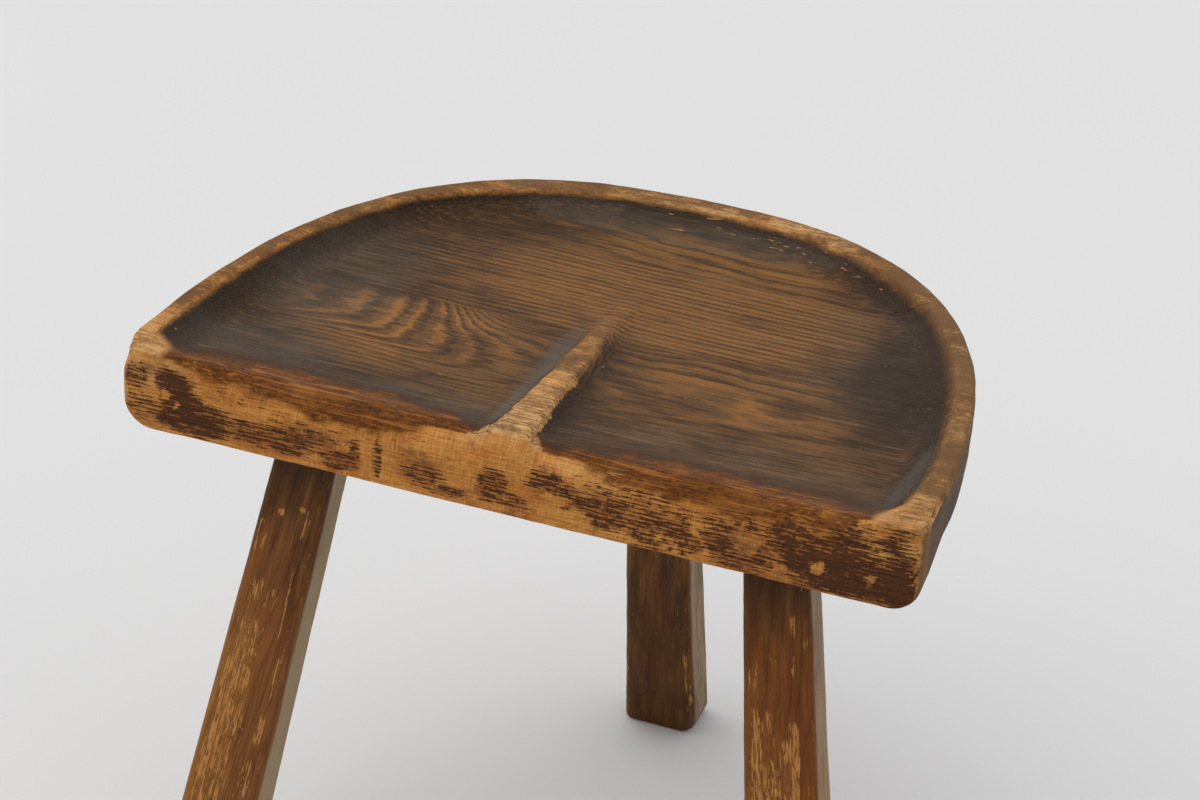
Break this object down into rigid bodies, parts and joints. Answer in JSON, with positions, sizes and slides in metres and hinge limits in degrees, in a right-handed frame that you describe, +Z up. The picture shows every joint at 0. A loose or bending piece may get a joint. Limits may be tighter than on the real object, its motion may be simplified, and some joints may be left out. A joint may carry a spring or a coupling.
{
  "type": "wooden stool",
  "caption": "Low wooden stool: a thick D-shaped glued-up seat carved to a rimmed dish with a central ridge, on splayed tapering legs.",
  "frame": {"origin": "centre of the footprint's bounding box, on the floor", "axes": "+Z up, +X to the sitter's right along the seat's grain and longest side, -Y towards the straight front edge"},
  "size_m": [0.45, 0.3528, 0.386],
  "materials": {
    "seat_wood": "dark stained and waxed, worn to bare orange-tan wood along the front and the rim",
    "leg_wood": "dark red-brown varnish, flaked to tan along the corners",
    "wedge_wood": "bare"
  },
  "bodies": {
    "root": {"seat_board_front": "seat_wood", "seat_board_middle": "seat_wood", "seat_board_rear": "seat_wood", "leg_front_left": "leg_wood", "leg_front_right": "leg_wood", "leg_rear": "leg_wood", "wedge_front_left": "wedge_wood", "wedge_front_right": "wedge_wood", "wedge_rear": "wedge_wood"}
  },
  "joints": []
}
